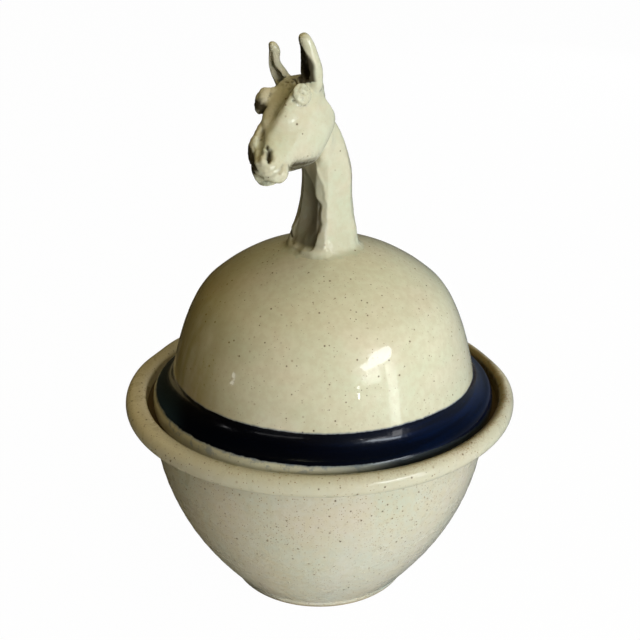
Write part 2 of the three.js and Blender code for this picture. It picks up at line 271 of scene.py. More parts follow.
def bowlOutline():
    b = bowl
    foot, side, under = b["footRadius"], b["radius"], b["rollHeight"] - b["roll"]
    inner, bevel = foot - b["ringWidth"], foot + b["footBevel"]
    middle = b["rim"] - b["roll"]
    lipTurn = math.acos((b["lip"] - middle) / b["roll"])
    outline = [Vector((0, b["recess"]))]
    onward(outline, 5, (inner - 4, b["recess"]))
    onward(outline, 6, (inner - 1, b["recess"]), (inner, 0))
    onward(outline, 3, (foot - 1.2, 0))
    onward(outline, 5, (foot, 0), (foot + 0.5, 1.2))
    onward(outline, 3, (bevel, b["footHeight"] - 1))
    onward(outline, 4, (bevel, b["footHeight"]), (bevel + 0.6, b["footHeight"] + 0.6))
    onward(outline, 40, (side, (b["footHeight"] + b["shoulder"]) / 2), (side, b["shoulder"]))
    onward(outline, 9, (side, under + 0.4), (side + 2.6, under + 0.9))
    onward(outline, 5, (side + 3.4, under - 0.3), (middle - 3.6, under + 1.3))
    outline += arc((middle, b["rollHeight"]), b["roll"], -math.pi / 2 - 0.55, lipTurn, 30)
    onward(outline, 6, (b["lip"] - 0.2, b["ledge"] + 4), (b["lip"] - 0.6, b["ledge"]))
    onward(outline, 5, (b["ledgeInner"] + 2.5, b["ledge"]))
    onward(outline, 5, (b["ledgeInner"], b["ledge"]), (b["ledgeInner"], b["ledge"] - 3))
    onward(outline, 36, (side - b["wall"], b["ledge"] * 0.6), (foot + 16, b["floor"] + 2),
           (foot - 18, b["floor"]))
    onward(outline, 5, (0, b["floor"]))
    return outline


def bowlWobble(a, r, z):
    # how far out the thrown bowl strays: its waves, throwing ridges, dents and soft unevenness
    b = bowl
    wave = sum(far * math.sin(times * a + start) for times, start, far in b["waves"])
    spiral = math.sin(z * 0.9 + 0.7 * math.sin(a + z * 0.05))
    ridge = b["ridge"] * spiral * ease(8, 30, z) * ease(112, 100, z)
    dent = sum(deep * bump(a - at, wide) for at, wide, deep in b["dents"])
    dent = dent * ease(108, 118, z) * ease(98, 110, r)
    soft = b["softness"] * noise.noise(Vector((math.cos(a) * 2, math.sin(a) * 2, z * 0.03)))
    return (wave * ease(60, 123, z) * 0.6 + ridge - dent + soft * ease(4, 20, z)) * ease(20, 60, r)


def bowlPiece():
    b = bowl
    bm = bmesh.new()
    thrown(bm, bowlOutline(), b["sides"])
    for v in bm.verts:
        r, z = math.hypot(v.co.x, v.co.y) / mm, v.co.z / mm
        a = math.atan2(v.co.y, v.co.x)
        out = bowlWobble(a, r, z)
        lip = ease(113, 105.5, r) * ease(96, 110, z)
        v.co.x += (math.cos(a) * out + lip * b["lipShift"]) * mm
        v.co.y += math.sin(a) * out * mm
        uneven = noise.noise(Vector((math.cos(a) * 3, math.sin(a) * 3, 7)))
        lift = b["rimLift"] * math.sin(2 * a + 1.9) + b["rimUneven"] * uneven
        v.co.z += lift * ease(108, 121, z) * ease(99, 106, r) * mm
    return asObject(bm, "thrown_bowl")


def bowlMaterial():
    look = bowl["look"]
    material, shader, place = glazeMaterial("oatmealBowlGlaze")
    x, y, z = place.parts()
    radius = (x * x + y * y).root()
    uneven = place.noise(60, 3) - 0.5
    colour = cloudedGlaze(place, look)
    milky = place.stretched(1, 1, 0.35).noise(30, 2, 0.5).between(0.3, 0.9)
    colour = (milky * z.between(*look["milkyHeight"])).cover(colour, look["milky"])
    # open pores below the rim
    porous = place.noise(45, 3, 0.6).between(0.4, 0.58) * z.between(*look["poreHeight"])
    pores = place.specks(look["poreScale"], look["poreSize"], look["poreShare"])
    colour = (pores * porous).cover(colour, (look["rust"], look["poreDepth"]))
    # the rolled rim, paler on its left and at its back right as painted light
    rim = z.between(*look["rimHeight"])
    litRimEnds = x.between(*look["leftEnd"]) + (x + y).between(*look["rightEnd"])
    colour = rim.cover(colour, look["rim"])
    colour = (rim * litRimEnds).cover(colour, look["rimPaintedLight"])
    colour = speckled(colour, place, look)
    # thin brown glaze inside the rim, deepened on the right as painted shade, and toasted crumbs on it,
    # more on the right
    rough = place.noise(900, 3, 0.7)
    inside = (radius + uneven * 0.004 + rough * 0.003).between(*look["insideRadius"])
    inside = inside * z.between(*look["insideHeight"])
    crumbs = rough.between(0.5, 0.6) * (radius + uneven * 0.008).between(*look["crumbRadius"])
    crumbs = crumbs * z.between(*look["crumbHeight"])
    rightSide = (x + y * 0.4 + uneven * 0.03).between(*look["rightSide"])
    # painted shade: the brown inside the rim grows much darker towards the right
    colour = (inside * (0.2 + rightSide * 0.75)).blend(colour, look["inside"])
    colour = (crumbs * (0.2 + rightSide * 0.5)).blend(colour, look["toast"])
    # bare clay under the foot ring, and on the ledge bare clay darkened as painted shade
    onLedge = radius.between(*look["ledgeOuter"]) * radius.between(*look["ledgeInner"])
    onLedge = onLedge * z.between(*look["ledgeTop"]) * z.between(*look["ledgeFoot"])
    under = z.between(*look["underHeight"])
    colour = under.blend(colour, look["clay"])
    colour = onLedge.blend(colour, look["shadedBareClay"])
    bare = onLedge.maths("MAXIMUM", onLedge, under)
    glazed(shader, place, look, colour, (1 - bare) * look["coat"], bare)
    return material


# Lid

lid = {
    "shift": 2, "flange": 100.6, "seat": 114.3, "upturn": 10.7, "edge": 2.6, "rise": 11.5, "dome": 88.3,
    "height": 76.4, "lean": 8.9, "shoulder": 67.7, "shoulderHeight": 50.6, "wall": 5.6, "sides": 256,
    "rings": 0.035, "softness": 0.5, "edgeWave": 0.35,
    "look": dict(
        glaze, body=(0.725, 0.71, 0.53, 1), grainSize=0.00046, pinkShare=0.55,
        leftPaintedShade=((0.37, 0.29, 0.09, 1), 0.9), edge=((0.62, 0.60, 0.46, 1), 0.5),
        smudge=((0.13, 0.18, 0.27, 1), 0.5), halo=((0.03, 0.075, 0.17, 1), 0.7),
        bluishShade=((0.17, 0.21, 0.22, 1), 0.75), shade=((0.012, 0.018, 0.026, 1), 0.95),
        leftShadeSide=(-0.035, -0.086), edgeRadius=(0.0865, 0.0873), edgeHeight=(0.1262, 0.1235),
        smudgeHeight=(0.1175, 0.1225), bluishSide=(-0.03, 0.035), shadeSide=(0.005, 0.042),
        bandLow=0.1236, bandHigh=0.1372, bandBorder=0.0005, bandSlope=0.009, bandDrop=0.0016,
        dropSide=(0.055, 0.09), cobaltSide=(-0.03, 0.075), farLeftSide=(-0.074, -0.09),
        oliveSide=(-0.02, 0.06), oliveHeight=(0.1180, 0.1155), oliveDepth=0.85,
        bareHeight=(0.1162, 0.1148), cobalt=(0.001, 0.008, 0.042, 1),
        shadedCobalt=(0.0008, 0.0014, 0.004, 1), reflectedGreyCobalt=(0.012, 0.024, 0.036, 1),
        oliveShade=(0.13, 0.11, 0.045, 1), darkOliveShade=(0.03, 0.028, 0.008, 1)),
}
lid["top"] = lid["seat"] + lid["upturn"]
lid["foot"] = lid["top"] + lid["rise"]
lid["crown"] = lid["foot"] + lid["height"]


def domeCurves(margin):
    d, high = lid, lid["foot"] + lid["shoulderHeight"]
    foot = (d["dome"] + margin, d["foot"])
    lower = (d["dome"] - d["lean"] + margin, d["foot"] + d["shoulderHeight"] * 0.78)
    shoulder = (d["shoulder"] + margin * 0.7, high + margin * 0.7)
    upper = (d["shoulder"] * 0.58, d["crown"] + margin)
    return [foot, lower, shoulder, upper, (0, d["crown"] + margin)]


def domeWobble(a, z):
    # how far the thrown dome strays from round
    rings = lid["rings"] * math.sin(z * 0.75 + 0.9 * math.sin(a - z * 0.03))
    soft = lid["softness"] * noise.noise(Vector((math.cos(a) * 1.4, math.sin(a) * 1.4, z * 0.025)))
    return (rings + soft) * ease(118, 150, z)


def lidOutline():
    d = lid
    foot, lower, shoulder, upper, top = domeCurves(-d["wall"])
    outline = [Vector(top)]
    onward(outline, 30, upper, shoulder)
    onward(outline, 30, lower, foot)
    onward(outline, 8, (foot[0] + 1.4, d["seat"] + 1))
    onward(outline, 4, (foot[0] + 1.5, d["seat"]), (foot[0] + 2.6, d["seat"]))
    onward(outline, 4, (d["flange"] - d["edge"], d["seat"]))
    onward(outline, 8, (d["flange"], d["seat"]), (d["flange"], d["seat"] + d["edge"]))
    onward(outline, 12, (d["flange"], d["top"] - d["edge"]), (d["flange"] - 1, d["top"] - 1),
           (d["flange"] - d["edge"], d["top"]))
    onward(outline, 16, (d["dome"] + 1, d["top"] + 2.5), (d["dome"], d["foot"]))
    lower, shoulder, upper, top = domeCurves(0)[1:]
    onward(outline, 40, lower, shoulder)
    onward(outline, 40, upper, top)
    return outline


def lidPiece():
    d = lid
    bm = bmesh.new()
    thrown(bm, lidOutline(), d["sides"])
    for v in bm.verts:
        a, z, r = math.atan2(v.co.y, v.co.x), v.co.z / mm, math.hypot(v.co.x, v.co.y) / mm
        out = domeWobble(a, z) * ease(3, 40, r)
        edge = d["edgeWave"] * math.sin(2 * a + 0.4) * ease(95, 100, r)
        v.co.x += math.cos(a) * (out + edge) * mm
        v.co.y += math.sin(a) * (out + edge) * mm
    bmesh.ops.translate(bm, verts=bm.verts, vec=(d["shift"] * mm, 0, 0))
    return asObject(bm, "thrown_lid")


def brushedCobalt(place, across, look):
    # bluest where it is thick; bluer on the right and near black on the left as painted light and shade,
    # and greyer at the far left as a painted reflection
    streak = place.stretched(14, 14, 420).noise(1, 3, 0.6)
    thick = place.noise(9, 2, 0.5)
    blue = (streak * 0.6 + thick * 0.5).between(0.46, 0.74) * 0.8 + 0.2
    tone = (blue * across.between(*look["cobaltSide"])).blend(look["shadedCobalt"], look["cobalt"])
    return across.between(*look["farLeftSide"]).blend(tone, look["reflectedGreyCobalt"])


def lidMaterial():
    look = lid["look"]
    material, shader, place = glazeMaterial("oatmealLidGlaze")
    x, y, z = place.parts()
    across = x - lid["shift"] * mm
    radius = (across * across + y * y).root()
    outer = radius.between(*look["edgeRadius"])
    uneven = place.noise(60, 3) - 0.5
    colour = speckled(cloudedGlaze(place, look), place, look)
    # streaky brown painted shade on the left of the dome, away from the light
    shadeStreaks = place.stretched(40, 40, 6).noise(1, 3, 0.6).between(0.15, 0.6)
    colour = (shadeStreaks * across.between(*look["leftShadeSide"])).cover(colour, look["leftPaintedShade"])
    # the edge under the band, smudged with blue, and going bluish grey and then near black towards the
    # right as painted shade
    edge = z.between(*look["edgeHeight"]) * outer
    smudge = place.noise(210, 3, 0.6).between(0.5, 0.64) * edge * z.between(*look["smudgeHeight"])
    bluishShade = edge * across.between(*look["bluishSide"])
    shade = edge * (across + uneven * 0.02).between(*look["shadeSide"])
    # the band runs a little lower towards the right, and its borders are ragged
    ragged = (place.noise(120, 3, 0.6) - 0.5) * 0.0013 + (place.noise(620, 2, 0.6) - 0.5) * 0.0006
    level = z + ragged + across * look["bandSlope"]
    level = level + across.between(*look["dropSide"]) * look["bandDrop"]
    low, high, border = look["bandLow"], look["bandHigh"], look["bandBorder"]
    band = level.between(low, low + border) * level.between(high, high - border) * outer
    halo = level.between(low - 0.001, low + border) * level.between(high + 0.0009, high - 0.0003) * outer
    layers = {"edge": edge, "smudge": smudge, "halo": halo, "bluishShade": bluishShade, "shade": shade}
    for name, mask in layers.items():
        colour = mask.cover(colour, look[name])
    colour = band.blend(colour, brushedCobalt(place, across, look))
    # the flange's lower edge in olive painted shade, darker towards the right, and its bare underside in
    # painted shade
    oliveShade = across.between(*look["oliveSide"]).blend(look["oliveShade"], look["darkOliveShade"])
    colour = z.between(*look["oliveHeight"]).cover(colour, (oliveShade, look["oliveDepth"]))
    bare = z.between(*look["bareHeight"])
    colour = bare.blend(colour, look["shadedBareClay"])
    dull = band * 0.45 + shade * (1 - band) * 0.6
    glazed(shader, place, look, colour, (1 - dull) * look["coat"], bare)
    return material


# Horse

horse = {
    "turn": 39, "pitch": 40, "tilt": 17, "forward": 24.7, "rise": 99.2, "aside": -3.6, "twist": 10,
    "faceLength": 59.5, "headWidth": 30, "headDepth": 36, "neckWidth": 23.8, "neckDepth": 26,
    "eye": 5, "eyeSpread": 13.2, "eyeAlong": 15.2, "eyeHeight": -3.3,
    "earSpread": 11.2, "earAlong": 1, "earSunk": 8, "earShell": 1.8,
    "grain": 0.6, "footRounds": 60, "jowlReach": 7, "jowlRounds": 110, "seatSunk": 0.5,
    "headFrom": 50, "eyeReach": 12, "pinch": 0.8,
    "throatDepth": 2.2, "throatHeight": 50, "throatFade": 8,
    "cheekFill": ((10, -7.4, 275), (9.2, -9.4, 271), (8, -11, 267.6)),
    "jowl": ((10.8, -1, 284), (11.6, -5, 277.6), (11.2, -8.4, 271), (10, -10.8, 265.6)),
    "eyeAt": ((-13.2, -15.2, -3.3), (13.4, -13, -3.4)), "eyeSize": (5, 5.6), "eyeThickness": 1.8,
    "throatEdge": (9.5, 11.7, 11, 9.6, 5.6, -1.5, -7),
    "stripEdge": (14.5, 14.6, 13.5, 12.3, 10.9, 8.8, 6),
    "leftEar": {"length": 26, "width": 12.8, "splay": 15.5, "turn": -11, "sweep": 0.6, "waist": 0.82,
                "waistAside": 0.2, "brow": 0.5, "poolAndShade": 1},
    "rightEar": {"length": 25.8, "width": 9.6, "splay": 13.5, "turn": 24, "sweep": 2.4, "waist": 0.68,
                 "waistAside": -1.5, "brow": 1.1, "poolAndShade": 0.12},
    "look": dict(
        glaze, body=(0.67, 0.665, 0.515, 1), green=(0.61, 0.645, 0.47, 1), pink=(0.71, 0.63, 0.48, 1),
        # the next colour darkens hollows and creases, as pooled glaze and painted shade
        poolAndShade=((0.03, 0.021, 0.008, 1), 0.95), grainShare=0.16, dustDepth=0.25, cloudScale=45,
        coat=0.45),
}


def horseMaterial():
    look = horse["look"]
    material, shader, place = glazeMaterial("oatmealHorseGlaze")
    colour = speckled(cloudedGlaze(place, look), place, look)
    pooledAndShaded = place.node("ShaderNodeAttribute", {"attribute_name": "pooledAndShaded"}, out=2)
    glazed(shader, place, look, pooledAndShaded.cover(colour, look["poolAndShade"]), look["coat"])
    return material


def bothEars():
    # each ear with its side
    return (1, horse["leftEar"]), (-1, horse["rightEar"])


def turned(degrees, axis):
    return Matrix.Rotation(math.radians(degrees), 4, axis)


def flowing(values, along):
    # one smooth curve through evenly spaced values
    last = len(values) - 1
    spot = min(along * last, last - 1e-9)
    i = int(spot)
    t, a, b = spot - i, values[i], values[i + 1]
    before = values[i - 1] if i else 2 * a - b
    after = values[i + 2] if i + 2 <= last else 2 * b - a
    return 0.5 * (2 * a + (b - before) * t + (2 * before - 5 * a + 4 * b - after) * t * t
                  + (3 * a - before - 3 * b + after) * t ** 3)


plainRing = {"square": 2, "narrow": 0, "dentOver": 0, "dentUnder": 0, "ridge": 0, "bevel": 2, "turn": 0}


def ring(at, wide, over, under, **more):
    # one section: its middle, its half width, and its reach above and below as shares
    return dict(plainRing, at=at, wide=wide, over=over, under=under, **more)


def loft(bm, sections, width, depth, rings, sides, place):
    # rings along a smooth middle line, each a squared, bevelled and dented circle, bridged and closed
    def middle(along):
        return Vector([flowing([s["at"][i] for s in sections], along) for i in range(3)])

    measures = [name for name in sections[0] if name != "at"]
    loops, added = [], []
    for i in range(rings + 1):
        along = i / rings
        value = {name: flowing([s[name] for s in sections], along) for name in measures}
        run = middle(min(along + 0.01, 1)) - middle(max(along - 0.01, 0))
        t = math.radians(value["turn"])
        upward = run.cross(Vector((1, 0, 0))).normalized()
        across = Vector((1, 0, 0)) * math.cos(t) - upward * math.sin(t)
        upward = Vector((1, 0, 0)) * math.sin(t) + upward * math.cos(t)
        verts = bmesh.ops.create_circle(bm, cap_ends=i in (0, rings), segments=sides, radius=1)["verts"]
        for v in verts:
            c, s = v.co.x, v.co.y
            power = 2 / (value["square"] + (value["ridge"] if s > 0 else 0))
            c = math.copysign(abs(c) ** power, c)
            s = math.copysign(abs(s) ** power, s)
            corner = min(1, value["bevel"] / (abs(c) + abs(s)))
            c, s = c * corner, s * corner
            dent = (value["dentOver"] if s > 0 else -value["dentUnder"]) * bump(c, 0.5) * abs(s)
            side = width * value["wide"] * c * (1 - value["narrow"] * max(s, 0))
            high = depth * ((value["over"] if s > 0 else value["under"]) * s - dent)
            v.co = (middle(along) + across * side + upward * high) * mm
        loops.append(list({e for v in verts for e in v.link_edges}))
        added += verts
    for one, two in zip(loops, loops[1:]):
        bmesh.ops.bridge_loops(bm, edges=one + two)
    bmesh.ops.transform(bm, matrix=place, verts=added)


def pellet(bm, radii, at, turns, place):
    # a ball of clay, drawn out and turned
    spin = turned(turns[0], "X") @ turned(turns[1], "Y") @ turned(turns[2], "Z")
    shape = Matrix.Translation(Vector(at) * mm) @ spin @ Matrix.Diagonal([r * mm for r in radii] + [1])
    bmesh.ops.create_uvsphere(bm, u_segments=28, v_segments=14, radius=1, matrix=place @ shape)


def neckForm(bm, place):
    h = horse
    w, d, up, twist = h["neckWidth"] / 2, h["neckDepth"] / 2, lid["crown"], h["twist"]

    def at(rise, lean, aside=0):
        return (aside * w, -lean * h["forward"], up + rise * h["rise"])

    loft(bm, [
        ring(at(-0.03, 0), 1.55, 1.52, 1.52, square=2.6, turn=twist),
        ring(at(0.03, 0), 1.43, 1.41, 1.41, square=3, bevel=1.78, turn=twist),
        ring(at(0.12, 0, 0.02), 1.18, 1.28, 1.17, square=4, bevel=1.64, dentUnder=0.12, turn=twist),
        ring(at(0.252, -0.02, 0.03), 1.04, 1.17, 1.02, square=4.4, bevel=1.58, dentUnder=0.16,
             turn=twist),
        ring(at(0.423, -0.05, 0.03), 1, 1.07, 1, square=4.2, bevel=1.58, dentUnder=0.14, turn=twist),
        ring(at(0.575, 0.04), 0.94, 0.82, 0.89, square=3.4, bevel=1.65, dentUnder=0.08,
             turn=twist * 0.8),
        ring(at(0.706, 0.28, -0.04), 0.83, 0.7, 0.77, square=2.5, turn=twist * 0.4),
        ring(at(0.806, 0.54, -0.08), 0.67, 0.62, 0.62, square=2.3),
        ring(at(0.847, 0.72, -0.08), 0.5, 0.46, 0.46, square=2.1),
    ], w, d, 48, 64, place)
    # clay smeared into the corner between the cheek and the neck
    for spot in h["cheekFill"]:
        pellet(bm, (3, 3.4, 4.6), spot, (0, 0, 0), place)


def headForm(bm, place):
    h = horse
    long, w, d = h["faceLength"], h["headWidth"] / 2, h["headDepth"]

    def at(along, height=-0.39):
        return (0, -along * long, height * d)

    loft(bm, [
        ring(at(-0.1, -0.56), 0.47, 0.17, 0.22),
        ring(at(-0.05, -0.47), 0.7, 0.235, 0.33, square=2.3),
        ring(at(0.04), 0.89, 0.32, 0.5, square=2.8, narrow=0.1, ridge=1),
        ring(at(0.14), 1, 0.39, 0.6, square=3.3, narrow=0.26, ridge=3, dentOver=0.03),
        ring(at(0.27), 1, 0.405, 0.625, square=3.4, narrow=0.3, ridge=4, dentOver=0.045),
        ring(at(0.4), 0.92, 0.385, 0.63, square=3.3, narrow=0.34, ridge=3.5, dentOver=0.03),
        ring(at(0.54), 0.81, 0.325, 0.6, square=3.1, narrow=0.46, ridge=1.5),
        ring(at(0.67, -0.375), 0.7, 0.295, 0.43, square=2.4, narrow=0.45),
        ring(at(0.79, -0.35), 0.61, 0.275, 0.24, narrow=0.28, dentOver=0.04),
        ring(at(0.9, -0.35), 0.58, 0.25, 0.235, square=2.4, narrow=0.2, dentOver=0.035),
        ring(at(0.955, -0.335), 0.5, 0.22, 0.19, square=2.4, narrow=0.12),
        ring(at(0.99, -0.315), 0.38, 0.16, 0.13, square=2.3),
        ring(at(1.01, -0.305), 0.2, 0.08, 0.07),
    ], w, d, 72, 72, place)

    def bead(radii, aside, along, height, turns):
        size = (radii[0] * w, radii[1] * long, radii[2] * d)
        pellet(bm, size, (aside, -along * long, height * d), turns, place)

    bead((0.32, 0.11, 0.1), 0.34 * w, 0.87, -0.468, (9, 0, 0))
    bead((0.22, 0.21, 0.07), -0.48 * w, 0.66, -0.14, (6, -12, 4))
    bead((0.16, 0.13, 0.1), -0.63 * w, 0.73, -0.22, (20, 0, -8))
    for side, ear in bothEars():
        brow, size = side * (h["eyeSpread"] - 0.6 * h["eye"]) - 0.8, ear["brow"]
        bead((0.25 * size, 0.12 * size, 0.1 * size), brow, (h["eyeAlong"] + 0.1 * h["eye"]) / long,
             (h["eyeHeight"] + 0.4 * h["eye"]) / d, (0, 0, side * 8))


def earPlace(side, ear):
    h = horse
    stand = Matrix.Translation(Vector((side * h["earSpread"], -h["earAlong"], -h["earSunk"])) * mm)
    return stand @ turned(8 - h["pitch"], "X") @ turned(ear["splay"], "Y") @ turned(ear["turn"], "Z")


def earOuter(bm, ear, place):
    long, w, sweep, waist = ear["length"], ear["width"] / 2, ear["sweep"], ear["waist"]
    loft(bm, [
        ring((sweep, 0.1 * w, -0.15 * long), 0.7, 0.62, 0.62),
        ring((sweep, 0.05 * w, 0), 0.9, 0.72, 0.74),
        ring((0.4 * sweep, 0.05 * w, 0.25 * long), 1, 0.84, 0.84),
        ring((ear["waistAside"], 0, 0.55 * long), waist, 0.9 * waist, 0.9 * waist),
        ring((-0.06 * w, -0.1 * w, 0.8 * long), 0.62, 0.56, 0.56),
        ring((-0.16 * w, -0.24 * w, 0.95 * long), 0.46, 0.42, 0.42),
        ring((-0.2 * w, -0.3 * w, long), 0.26, 0.24, 0.24),
    ], w, w, 30, 36, place)


def earHollow(bm, ear, place):
    long, w, sweep, waist = ear["length"], ear["width"] / 2, ear["sweep"], ear["waist"]
    inside = w - horse["earShell"]
    loft(bm, [
        ring((0.6 * sweep, -0.34 * w, 0.1 * long), 0.4, 0.3, 0.8),
        ring((0.35 * sweep - 0.1 * w, -0.34 * w, 0.28 * long), 0.88, 1.1, 1.8),
        ring((ear["waistAside"] - 0.18 * w, -0.38 * w, 0.56 * long), waist * 0.78, 1, 1.6),
        ring((-0.3 * w, -0.5 * w, 0.84 * long), 0.18, 0.25, 0.8),
    ], inside, inside, 20, 28, place)


def hollows(bm, place):
    h = horse
    long, w, d = h["faceLength"], h["headWidth"] / 2, h["headDepth"]
    pellet(bm, (0.62 * w, 0.1 * long, 0.014 * d), (0, -1.03 * long, -0.36 * d), (6, 0, 0), place)
    for side, ear in bothEars():
        earHollow(bm, ear, place @ earPlace(side, ear))


def crownPatch(bm):
    # the top of the dome under the horse, so that the neck can grow out of it
    shoulder, upper, top = domeCurves(0)[2:]
    bow = [p for p in [Vector(shoulder)] + curve([shoulder, upper, top], 60) if p.x < 40]
    outline = [Vector((0, lid["crown"] - 3.6)), Vector((bow[0].x, bow[0].y - 2.6))] + bow
    part = bmesh.new()
    thrown(part, outline, 96, lid["shift"])
    kept = bpy.data.meshes.new("crown_patch")
    part.to_mesh(kept)
    part.free()
    bm.from_mesh(kept)


def settled(piece):
    # the piece as its modifiers leave it
    made = bpy.data.meshes.new_from_object(piece.evaluated_get(bpy.context.evaluated_depsgraph_get()))
    piece.modifiers.clear()
    piece.data = made
    return piece


def melted(piece, grain, rounds):
    # overlapping forms become one skin, softened as a thumb does
    skin = piece.modifiers.new("skin", "REMESH")
    skin.mode, skin.voxel_size = "VOXEL", grain * mm
    soften = piece.modifiers.new("soften", "SMOOTH")
    soften.factor, soften.iterations = 0.5, rounds
    return settled(piece)


def horsePiece():
    h = horse
    standing = Matrix.Translation((lid["shift"] * mm, 0, 0)) @ turned(-h["turn"], "Z")
    poll = Vector((h["aside"], -h["forward"], lid["crown"] + h["rise"])) * mm
    head = standing @ Matrix.Translation(poll) @ turned(-h["tilt"], "Y") @ turned(h["pitch"], "X")
    bm = bmesh.new()
    crownPatch(bm)
    neckForm(bm, standing)
    headForm(bm, head)
    for side, ear in bothEars():
        earOuter(bm, ear, head @ earPlace(side, ear))
    bmesh.ops.recalc_face_normals(bm, faces=bm.faces)
    piece = melted(asObject(bm, "horse_handle"), h["grain"], 3)
    tools = bmesh.new()
    hollows(tools, head)
    bmesh.ops.recalc_face_normals(tools, faces=tools.faces)
    cutter = asObject(tools, "hollowing_tools")
    cut = piece.modifiers.new("cut", "BOOLEAN")
    cut.operation, cut.solver, cut.object = "DIFFERENCE", "EXACT", cutter
    settled(piece)
    bpy.data.objects.remove(cutter)
    bm = bmesh.new()
    bm.from_mesh(piece.data)
    for side, at, size in zip((-1, 1), h["eyeAt"], h["eyeSize"]):
        pellet(bm, (h["eyeThickness"], size, size), at, (0, side * -14, side * -8), head)
    bm.to_mesh(piece.data)
    bm.free()
    melted(piece, h["grain"], 2)
    sculpt(piece, head, standing @ turned(-h["twist"], "Z"))
    return piece


# Strokes of the potter's tools: where each runs, in the head's frame or the neck's, how wide and how
# deep it is (below 0 it stands proud), and how dark it leaves the glaze, as pooled glaze and painted
# shade.
def stroke(run, width, depth, dark=0):
    line = [Vector(p) for p in run]
    middle = sum(line, Vector()) / len(line)
    reach = max((p - middle).length for p in line) + 3 * width
    return {"run": line, "middle": middle, "reach": reach, "width": width, "depth": depth, "dark": dark}


marks = {
    "head": [
        # left nostril, its inner lip, and the groove and bone beside it; the nostril and groove are
        # darkened as painted shade
        stroke([(2.8, -45.2, -4.4), (4.4, -47.2, -5.6), (5.8, -50, -6.6), (6.2, -53.4, -7)],
               0.8, 1.4, 0.95),
        stroke([(4.6, -47.8, -5.6), (5.8, -51.2, -6.8)], 1.5, 2.2, 1),
        stroke([(1.4, -47.4, -5), (2.4, -50.8, -4.8), (3.8, -53.6, -4.8)], 1.8, -1.3),
        stroke([(-3.4, -36, -3.2), (-2, -41, -3.8), (-0.6, -45.5, -4), (1.6, -49.5, -4.2)],
               1.8, 1.3, 0.45),
        stroke([(-5, -40, -1.7), (-3.6, -46, -4.3), (0, -54, -4.6)], 1.8, -0.9),
        # right nostril, seen from its edge, its slit darkened as painted shade
        stroke([(-4.6, -30, -1.6), (-5.6, -36, -2), (-7, -43, -3)], 3.4, -1),
        stroke([(-6.8, -41, -3), (-8, -47, -5), (-7.6, -51, -7)], 2.6, -0.9),
        stroke([(-8, -47.5, -5.4), (-6.8, -50.4, -6.6), (-4.6, -54.4, -7.6), (-3, -57, -8.6)],
               1.9, 0, 1),
        # mouth and lips, their creases darkened as painted shade
        stroke([(-2.2, -59.6, -11.6), (-0.8, -60.4, -14), (1.6, -60, -16)], 2.8, 2.4),
        stroke([(6.4, -58, -15), (8.2, -54.6, -15.4)], 2.6, -1.5),
        stroke([(-1.1, -59.5, -9), (0.9, -60, -10.6), (5.6, -59.1, -11.9), (8.1, -55.5, -12.9),
                (8.8, -50.2, -13.9)], 0.7, 0.35, 0.14),
        stroke([(1, -59.6, -8.4), (5, -58.4, -9.4), (8, -54.6, -10.4)], 0.7, 0.2, 0.05),
        stroke([(-3.4, -58.8, -8.6), (-1.8, -59.6, -10.4), (0.6, -60.4, -13)], 0.8, 0.5, 0.6),
        # ridge down the face and the hollow beside it, the hollow darkened as painted shade
        stroke([(10.4, -8.6, -2), (8, -12.4, 0), (8.6, -17, 0), (7.6, -22, -0.6)], 1.3, -0.6),
        stroke([(6.2, -9.5, -0.8), (5.4, -15, -0.6), (5, -20, -1), (2, -25, -2)], 3, 1.1, 0.35),
        stroke([(9.2, -9, -0.8), (7.6, -12.4, -0.4), (7.2, -17, -0.5)], 1.5, 0.5, 0.75),
        stroke([(9, -8.6, -0.8), (4.6, -9.6, -0.6)], 1.7, 0.4, 0.5),
        # right eye: its brow, and painted shade under it
        stroke([(-11, -11.5, 1.2), (-12.8, -14.5, 1.6), (-13, -17, 1)], 3, -1),
        stroke([(-7, -9, 0.2), (-9.6, -12, 0.6), (-9, -16, 0.4)], 2.2, -1.5),
        stroke([(-12.4, -19, 1), (-10.2, -20.9, 0.6), (-8, -21.2, 0), (-9.6, -23.4, -2)], 2.7, 0.7, 1),
        # forelock, pinched and stroked
        stroke([(-4, -3.2, -2), (1.5, -3.8, -1.8), (6.4, -4.2, -2)], 2.4, -0.8),
        stroke([(2.4, -1.8, -2.4), (5.4, -4, -1.8), (9, -7.3, -1.2)], 0.75, 0.9, 0.9),
        stroke([(8.5, -2.8, -2.6), (9.4, -5.4, -2)], 0.8, 0.9, 0.9),
        stroke([(11, -4.4, -3.5), (11.7, -6.8, -3.9)], 0.6, 0.6, 0.6),
        # jaw, its underside darkened as painted shade
        stroke([(5.2, -46.4, -21), (8, -44, -20.6), (8.6, -40.6, -24), (9.2, -36.4, -28.4),
                (9, -32.4, -32)], 1.2, 0.2, 0.55),
        stroke([(6, -43.6, -23.6), (6.4, -40, -27.8), (6.2, -36, -31.6), (5, -32, -35)], 4, 0.2, 1),
        # right ear's folded edge, its crease darkened as painted shade
        stroke([(-9.7, 5.3, 0), (-8.7, 3.3, -3.6), (-5.6, 1.2, -3.1)], 0.8, 0.5, 0.8),
        stroke([(-6.3, 9.6, 16), (-6.7, 8.3, 13), (-10, 4, 6), (-11, 2.2, 3)], 0.8, 0.2, 0.6),
    ],
    "neck": [
        # creases at the neck's foot darkened as painted shade, a smear of clay, and a shallow groove
        # beside it lightly darkened as painted shade
        stroke([(-12.3, -13, 219), (-10.4, -16, 217)], 0.9, 0.7, 0.8),
        stroke([(-9, -17, 216), (-5, -18.2, 214.5)], 0.8, 0.3, 0.5),
        stroke([(6, -19.5, 213), (12, -17.5, 213.4), (17, -13, 213)], 2.6, -1.1),
        stroke([(7, -22, 212), (13, -20, 212.4), (19, -15, 212)], 1.2, 0.4, 0.15),
    ],
}


